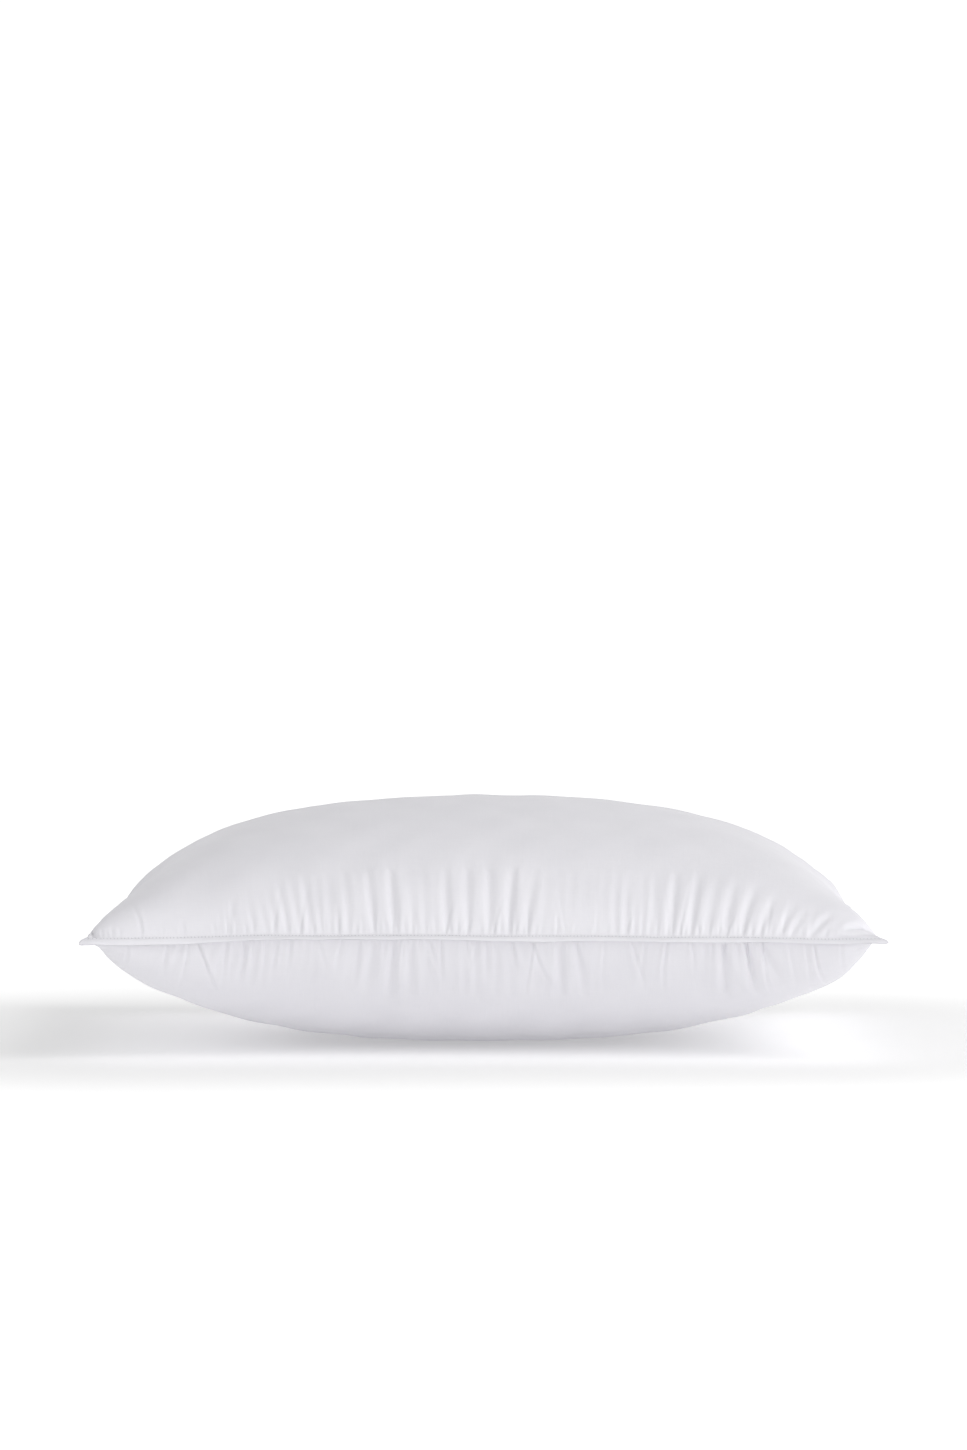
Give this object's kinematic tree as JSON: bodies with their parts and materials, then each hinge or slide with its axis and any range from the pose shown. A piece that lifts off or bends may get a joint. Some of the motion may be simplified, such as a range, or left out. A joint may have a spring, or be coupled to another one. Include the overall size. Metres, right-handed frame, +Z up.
{
  "type": "bed pillow",
  "caption": "Plump rectangular bed pillow in white cotton with pointed corners, sides that bow in, and a narrow topstitched edge all round.",
  "frame": {"origin": "middle of the underside, on the surface the pillow lies on", "axes": "+X along the long sides, +Y from the front long side to the rear one, +Z up through the thickness"},
  "size_m": [0.638, 0.486, 0.2],
  "materials": {
    "shell_cloth": "fine plain-weave cotton, cool white, matt with a faint sheen",
    "filling": "loose white fibre clusters, fluffy and matt",
    "thread": "white polyester-cotton sewing thread, slightly glossy",
    "label_tape": "plain white satin tape, blank, soft shine"
  },
  "bodies": {
    "root": {"top_panel": "shell_cloth", "bottom_panel": "shell_cloth", "filling": "filling", "edge_seam_thread": "thread", "closing_seam_thread": "thread", "topstitch_needle_thread": "thread", "topstitch_bobbin_thread": "thread", "care_label": "label_tape"}
  },
  "joints": []
}
